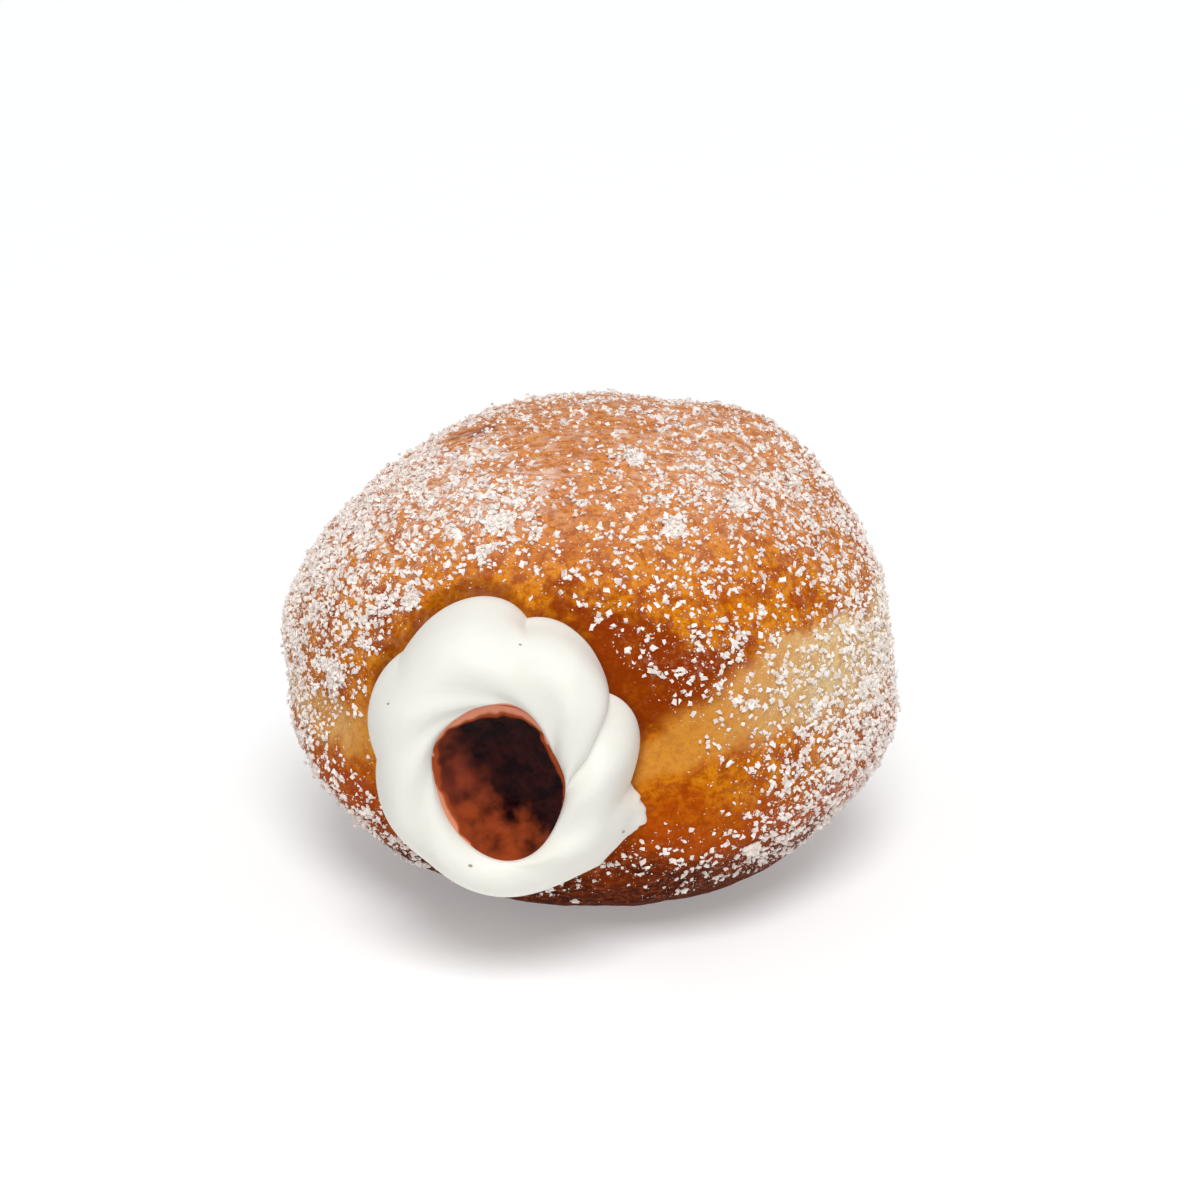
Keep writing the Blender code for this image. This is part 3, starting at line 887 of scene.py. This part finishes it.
def crystals(name, rng, shape, middles, normals, sizes):
    """One piece of many crystals: a small shape made uneven, laid down and set at each place."""
    points, sides = corners_of(shape)
    count = len(middles)
    stretch = sizes[:, None] * rng.uniform(CRYSTAL_LEAST_SHARES, CRYSTAL_MOST_SHARES, size=(count, 3))
    uneven = points[None, :, :] + CRYSTAL_UNEVEN * rng.normal(size=(count, *points.shape))
    local = uneven * stretch[:, None, :]
    turned = np.einsum("nij,nkj->nki", lying_turns(rng, normals), local) + middles[:, None, :]
    all_sides = sides[None, :, :] + (np.arange(count) * len(points))[:, None, None]
    mesh = bpy.data.meshes.new(name)
    mesh.from_pydata(turned.reshape(-1, 3).tolist(), [], all_sides.reshape(-1, sides.shape[1]).tolist())
    set_field(mesh, "tone", np.repeat(rng.uniform(0, 1, size=count), len(points)))
    return placed(name, mesh)


def random_sizes(rng, sizes, count):
    """Sizes between two limits, with more small ones than large."""
    small, large = sizes
    return small + (large - small) * rng.beta(*SIZE_POWERS, size=count)


def clump_places(rng, faces):
    """Where the crystals of the clumps lie, and the way out of the crust there."""
    middles, normals = scatter(rng, faces, CLUMP_COUNT, CLUMP_CONTRAST)
    middles, normals = (np.repeat(rows, CLUMP_CRYSTALS, axis=0) for rows in (middles, normals))
    uneven = rng.uniform(CLUMP_LEAST, CLUMP_MOST, size=CLUMP_COUNT)
    spread = np.repeat(uneven, CLUMP_CRYSTALS) * CLUMP_SPREAD
    places = [heap(rng, middles, normals, spread)]
    outwards = [normals]
    for azimuth, latitude, radius in LARGE_CLUMPS:
        towards = direction(azimuth, latitude)
        middle = np.tile(crust_point(towards), (LARGE_CLUMP_CRYSTALS, 1))
        normal = np.tile(towards, (LARGE_CLUMP_CRYSTALS, 1))
        spread = np.full(LARGE_CLUMP_CRYSTALS, radius * LARGE_CLUMP_SPREAD)
        places.append(heap(rng, middle, normal, spread))
        outwards.append(normal)
    return np.concatenate(places), np.concatenate(outwards)


def heap(rng, middles, normals, spread):
    """Points round these middles, flattened against the crust and piled up a little."""
    offset = rng.normal(size=middles.shape) * spread[:, None]
    height = np.einsum("nd,nd->n", offset, normals)
    return middles + offset + normals * (HEAP_HEIGHT * np.abs(height) - height)[:, None]


def make_sugar(crust):
    """The sugar's four pieces: coarse flecks, fine grains, dust, and the clumps."""
    rng = np.random.default_rng(SUGAR_SEED)
    faces = crust_faces(crust)
    shapes = (crystal_block, crystal_grain, crystal_chip)
    pieces = []
    for shape, (name, count, limits, contrast, lift) in zip(shapes, SUGAR_KINDS):
        middles, normals = scatter(rng, faces, count, contrast)
        sizes = random_sizes(rng, limits, count)
        middles += normals * (sizes * lift)[:, None]
        pieces.append(crystals(name, rng, shape(), middles, normals, sizes))
    middles, normals = clump_places(rng, faces)
    sizes = random_sizes(rng, COARSE_SIZES, len(middles))
    pieces.append(crystals("sugar_clumps", rng, crystal_block(), middles, normals, sizes))
    return pieces


# The finishes


class Finish:
    """A procedural material on one Principled shader, put together in a few plain steps."""

    def __init__(self, name):
        self.material = bpy.data.materials.new(name)
        self.material.use_nodes = True
        self.tree = self.material.node_tree
        self.shader = self.tree.nodes["Principled BSDF"]
        self.place = self.tree.nodes.new("ShaderNodeTexCoord").outputs["Object"]

    def set(self, **values):
        """Plain values on the shader: an underscore stands for a space in the socket's name."""
        for name, value in values.items():
            self.shader.inputs[name.replace("_", " ")].default_value = value

    def feed(self, source, socket):
        """A link from a socket, or a plain value."""
        if isinstance(source, bpy.types.NodeSocket):
            self.tree.links.new(source, socket)
        elif isinstance(source, tuple) and len(source) == 3 and socket.type == "RGBA":
            socket.default_value = (*source, 1.0)
        else:
            socket.default_value = source

    def field(self, name):
        """A number that the mesh holds at each point."""
        node = self.tree.nodes.new("ShaderNodeAttribute")
        node.attribute_name = name
        return node.outputs["Fac"]

    def height(self):
        """How high the place lies above the floor, in metres."""
        node = self.tree.nodes.new("ShaderNodeSeparateXYZ")
        self.tree.links.new(self.place, node.inputs[0])
        return node.outputs["Z"]

    def noise(self, across, detail=2.0, stretch=(1, 1, 1), rough=0.5):
        """Noise whose features are about this many metres across."""
        mapping = self.tree.nodes.new("ShaderNodeMapping")
        mapping.inputs["Scale"].default_value = stretch
        self.tree.links.new(self.place, mapping.inputs["Vector"])
        node = self.tree.nodes.new("ShaderNodeTexNoise")
        node.inputs["Scale"].default_value = 1 / across
        node.inputs["Detail"].default_value = detail
        node.inputs["Roughness"].default_value = rough
        self.tree.links.new(mapping.outputs["Vector"], node.inputs["Vector"])
        return node.outputs["Fac"]

    def sum(self, kind, first, second):
        """One step of arithmetic: ADD, MULTIPLY or MAXIMUM."""
        node = self.tree.nodes.new("ShaderNodeMath")
        node.operation = kind
        self.feed(first, node.inputs[0])
        self.feed(second, node.inputs[1])
        return node.outputs[0]

    def between(self, value, low, high, to_low=0.0, to_high=1.0):
        """The value's smooth rise from to_low at low to to_high at high."""
        node = self.tree.nodes.new("ShaderNodeMapRange")
        node.interpolation_type = "SMOOTHSTEP"
        self.feed(value, node.inputs["Value"])
        ends = {"From Min": low, "From Max": high, "To Min": to_low, "To Max": to_high}
        for name, number in ends.items():
            node.inputs[name].default_value = number
        return node.outputs["Result"]

    def mix(self, share, first, second):
        """A colour between two colours. Inputs 6 and 7 and output 2 are the Mix node's colours."""
        node = self.tree.nodes.new("ShaderNodeMix")
        node.data_type = "RGBA"
        self.feed(share, node.inputs[0])
        self.feed(first, node.inputs[6])
        self.feed(second, node.inputs[7])
        return node.outputs[2]

    def bump(self, height, depth, under=None):
        """Relief too fine for the mesh, up to this depth in metres."""
        node = self.tree.nodes.new("ShaderNodeBump")
        node.inputs["Distance"].default_value = depth
        self.feed(height, node.inputs["Height"])
        if under:
            self.tree.links.new(under, node.inputs["Normal"])
        return node.outputs["Normal"]

    def give(self, piece, **sockets):
        """Links what varies over the surface, and puts the material on the piece."""
        for name, source in sockets.items():
            self.feed(source, self.shader.inputs[name.replace("_", " ")])
        piece.data.materials.clear()
        piece.data.materials.append(self.material)


def fried_colour(fry, broad, mottle, speckle):
    """Gold and brown, milky with frost and a painted sheen on top, browner near the cream, and in
    painted shade under the cream, low down and at the foot.
    """
    colour = fry.mix(fry.between(mottle, 0.38, 0.62), FRIED_GOLD, FRIED_BROWN)
    colour = fry.mix(fry.between(broad, 0.42, 0.62, 0.0, 0.50), colour, FRIED_LIGHT)
    colour = fry.mix(fry.between(speckle, 0.44, 0.30, 0.0, 0.45), colour, FRIED_SPECKLE)
    height = fry.height()
    # Frost and a painted sheen on top
    colour = fry.mix(fry.between(height, TOP_FROM, TOP_FULL, 0.0, 0.70), colour, TOP_FROST_AND_PAINTED_SHEEN)
    # Painted shade on the underside, and darkest at the foot
    low = fry.sum("ADD", height, fry.between(broad, 0.3, 0.7, -LOW_UNEVEN, LOW_UNEVEN))
    colour = fry.mix(fry.between(low, LOW_FULL, LOW_END, 0.85, 0.0), colour, LOW_PAINTED_SHADE)
    # Browner crust by the cream, and painted shade under it and the belly
    dark_crust_and_shade = fry.sum("ADD", fry.field("dark_crust_and_shade"), fry.between(mottle, 0.30, 0.70, -0.25, 0.25))
    colour = fry.mix(fry.between(dark_crust_and_shade, 0.20, 0.95), colour, DARK_CRUST_AND_SHADE)
    # Painted shade at the foot
    return fry.mix(fry.between(low, BOTTOM_FULL, BOTTOM_END, 0.94, 0.0), colour, FOOT_PAINTED_SHADE)


def ring_colour(fry, ring, mottle):
    """The ring between the two fried halves: gold by the cream, and pale as crumb at the sides."""
    gold = fry.mix(fry.between(ring, 0.35, 1.0), RING_EDGE_GOLD, RING_GOLD)
    pale = fry.mix(fry.between(fry.field("pale"), 0.15, 0.75), gold, RING_PALE)
    return fry.mix(fry.between(mottle, 0.42, 0.62, 0.0, 0.45), pale, RING_MOTTLE)


def powder_share(fry, speckle):
    """How much the sugar too fine for crystals whitens the crust: streaks and a light powder."""
    streak = fry.noise(STREAK_ACROSS, 5.0, stretch=STREAK_STRETCH, rough=0.72)
    frost = fry.sum("MULTIPLY", fry.field("frost"), fry.between(streak, 0.44, 0.62))
    dust = fry.sum("ADD", fry.sum("MULTIPLY", fry.field("sugar"), 0.30), speckle)
    powder = fry.between(dust, 0.62, 0.82)
    streaks = fry.sum("MULTIPLY", frost, STREAKS_WHITEN)
    return fry.sum("MAXIMUM", streaks, fry.sum("MULTIPLY", powder, POWDER_WHITENS))


def finish_crust(crust):
    """Fried crust with its pale ring, brown spots, painted shade low down, a painted shadow along the
    cream, and fine sugar.
    """
    fry = Finish("fried crust")
    fry.set(Metallic=0.0, Specular_IOR_Level=0.015)
    broad = fry.noise(BROAD_ACROSS, 3.0)
    mottle = fry.noise(MOTTLE_ACROSS, 4.0, rough=0.65)
    speckle = fry.noise(SPECKLE_ACROSS, 3.0, rough=0.65)
    ring = fry.field("ring")
    colour = fry.mix(ring, fried_colour(fry, broad, mottle, speckle), ring_colour(fry, ring, mottle))
    spot_strength = fry.between(ring, 0.0, 1.0, 0.60, 0.22)
    spots = fry.sum("MULTIPLY", fry.between(speckle, 0.46, 0.62), spot_strength)
    colour = fry.mix(spots, colour, FRIED_SPOTS)
    # The painted shadow along the cream's edge
    colour = fry.mix(fry.sum("MULTIPLY", fry.field("seam_shadow"), SEAM_SHADOW_DARKENS), colour, SEAM_PAINTED_SHADOW)
    white = powder_share(fry, speckle)
    fry.give(
        crust,
        Base_Color=fry.mix(white, colour, POWDER_WHITE),
        Roughness=fry.between(white, 0.0, 0.7, 0.55, 0.85),
        Normal=fry.bump(speckle, SPECKLE_DEPTH, under=fry.bump(mottle, MOTTLE_DEPTH)),
    )


def finish_cream(cream):
    """Whipped cream: warm white, soft, with a faint grain, and stained where it meets the jam."""
    whipped = Finish("whipped cream")
    whipped.set(
        Metallic=0.0,
        Specular_IOR_Level=0.15,
        Subsurface_Weight=0.30,
        Subsurface_Scale=0.0025,
        Subsurface_Radius=(1.0, 0.85, 0.65),
    )
    cloud = whipped.noise(CREAM_CLOUD_ACROSS, 3.0)
    colour = whipped.mix(whipped.between(cloud, 0.35, 0.65), CREAM_WHITE, CREAM_SHADE)
    stain = whipped.sum("ADD", whipped.field("stain"), whipped.between(cloud, 0.3, 0.7, -0.12, 0.12))
    colour = whipped.mix(whipped.between(stain, 0.10, 0.75), colour, STAIN_FAINT)
    colour = whipped.mix(whipped.between(stain, 0.85, 1.10), colour, STAIN_FULL)
    grain = whipped.noise(CREAM_GRAIN_ACROSS, 3.0)
    whipped.give(
        cream,
        Base_Color=colour,
        Roughness=whipped.between(cloud, 0.3, 0.7, 0.42, 0.52),
        Normal=whipped.bump(grain, CREAM_GRAIN_DEPTH),
    )


def finish_specks(specks):
    """Brown-grey specks."""
    brown = Finish("brown specks")
    brown.set(Metallic=0.0, Roughness=0.6)
    grain = brown.noise(SPECK_GRAIN_ACROSS)
    brown.give(specks, Base_Color=brown.mix(grain, SPECK_BROWN, SPECK_LIGHT))


def finish_jam(jam):
    """Dark red jam: wet, nearly black where it is deep, brown-red where it thins out and on its lower
    wall with painted light, and with a painted highlight on part of its edge.
    """
    wet = Finish("wet jam")
    wet.set(Metallic=0.0, Specular_IOR_Level=0.05)
    pulp = wet.noise(JAM_PULP_ACROSS, 4.0, rough=0.6)
    clots = wet.noise(JAM_CLOTS_ACROSS)
    colour = wet.mix(wet.between(pulp, 0.35, 0.65), JAM_BLACK, JAM_DEEP)
    bright = wet.sum("ADD", wet.field("red"), wet.between(clots, 0.35, 0.70, -0.22, 0.22))
    colour = wet.mix(wet.between(bright, 0.22, 0.95), colour, JAM_RED)
    # Painted light on the hollow's lower wall, where the jam is also thin
    thin_and_lit = wet.sum("ADD", wet.field("low"), wet.between(clots, 0.3, 0.7, -0.18, 0.18))
    thin_and_lit = wet.sum("ADD", thin_and_lit, wet.between(pulp, 0.3, 0.7, -0.10, 0.10))
    colour = wet.mix(wet.between(thin_and_lit, 0.30, 0.95), colour, JAM_THIN_AND_LIT)
    # The edge bands: jam smeared on the cream, and a painted highlight on the lower left
    smear_and_highlight = wet.field("smear_and_highlight")
    colour = wet.mix(wet.between(smear_and_highlight, 0.05, 0.45), colour, JAM_EDGE_SMEAR_AND_HIGHLIGHT)
    colour = wet.mix(wet.between(smear_and_highlight, 0.50, 1.00), colour, JAM_RIM_SMEAR_AND_HIGHLIGHT)
    wet.give(
        jam,
        Base_Color=colour,
        Roughness=wet.between(pulp, 0.3, 0.7, 0.10, 0.25),
        Normal=wet.bump(pulp, JAM_PULP_DEPTH),
    )


def finish_sugar(piece):
    """Sugar crystals: white, a little glassy, each of its own shade."""
    glint = Finish("sugar crystals " + piece.name)
    glint.set(Metallic=0.0, Roughness=0.35, Specular_IOR_Level=0.3)
    grain = glint.noise(CRYSTAL_GRAIN_ACROSS)
    colour = glint.mix(glint.field("tone"), SUGAR_WHITE, SUGAR_SHADE)
    colour = glint.mix(glint.between(grain, 0.35, 0.65, 0.0, 0.25), colour, SUGAR_GRAIN)
    glint.give(piece, Base_Color=colour)


# The stage


def make_floor():
    """A plain white floor."""
    sheet = bmesh.new()
    bmesh.ops.create_grid(sheet, x_segments=1, y_segments=1, size=FLOOR_SIZE)
    mesh = bpy.data.meshes.new("floor")
    sheet.to_mesh(mesh)
    sheet.free()
    floor = bpy.data.objects.new("floor", mesh)
    bpy.context.scene.collection.objects.link(floor)
    plain = Finish("plain white floor")
    plain.set(Roughness=0.9, Specular_IOR_Level=0.1)
    cloud = plain.noise(FLOOR_CLOUD_ACROSS)
    plain.give(floor, Base_Color=plain.mix(cloud, FLOOR_WHITE, FLOOR_CLOUD))


def towards_point(azimuth, elevation):
    """The way from the middle to a lamp or the camera. Azimuth 0 is the front, -Y."""
    level = math.cos(elevation)
    return Vector((level * math.sin(azimuth), -level * math.cos(azimuth), math.sin(elevation)))


def make_lamp(name, strength, angle, towards):
    """A sun that shines from this way, soft by its angle."""
    sun = bpy.data.lights.new(name, "SUN")
    sun.energy = strength
    sun.angle = angle
    lamp = bpy.data.objects.new(name, sun)
    lamp.rotation_euler = towards.to_track_quat("Z", "Y").to_euler()
    bpy.context.scene.collection.objects.link(lamp)
    return sun


def make_light():
    """An even white sky, a soft key from high in front, and a fill that keeps the shadow light."""
    world = bpy.data.worlds.new("studio")
    world.use_nodes = True
    background = world.node_tree.nodes["Background"]
    background.inputs["Color"].default_value = (1.0, 1.0, 1.0, 1.0)
    background.inputs["Strength"].default_value = SKY_STRENGTH
    bpy.context.scene.world = world
    make_lamp("key", KEY_STRENGTH, KEY_ANGLE, towards_point(KEY_AZIMUTH, KEY_ELEVATION))
    fill = make_lamp("overhead fill", FILL_STRENGTH, KEY_ANGLE, Vector((0, 0, 1)))
    fill.use_shadow = False


def make_camera():
    """A long lens at the photo's angle."""
    lens = bpy.data.cameras.new("camera")
    lens.lens = CAMERA_LENS
    lens.clip_start = 0.01
    camera = bpy.data.objects.new("camera", lens)
    back = towards_point(CAMERA_AZIMUTH, CAMERA_ELEVATION)
    camera.location = CAMERA_AIM + back * CAMERA_DISTANCE
    camera.rotation_euler = back.to_track_quat("Z", "Y").to_euler()
    bpy.context.scene.collection.objects.link(camera)
    bpy.context.scene.camera = camera


def main():
    """The whole picture: the camera, the light, the floor and the doughnut."""
    bpy.context.scene.view_settings.view_transform = "Standard"
    make_camera()
    make_light()
    make_floor()
    crust = make_dough()
    finish_crust(crust)
    cream = make_cream()
    finish_cream(cream)
    finish_specks(make_specks(cream))
    finish_jam(make_jam())
    for piece in make_sugar(crust):
        finish_sugar(piece)


main()
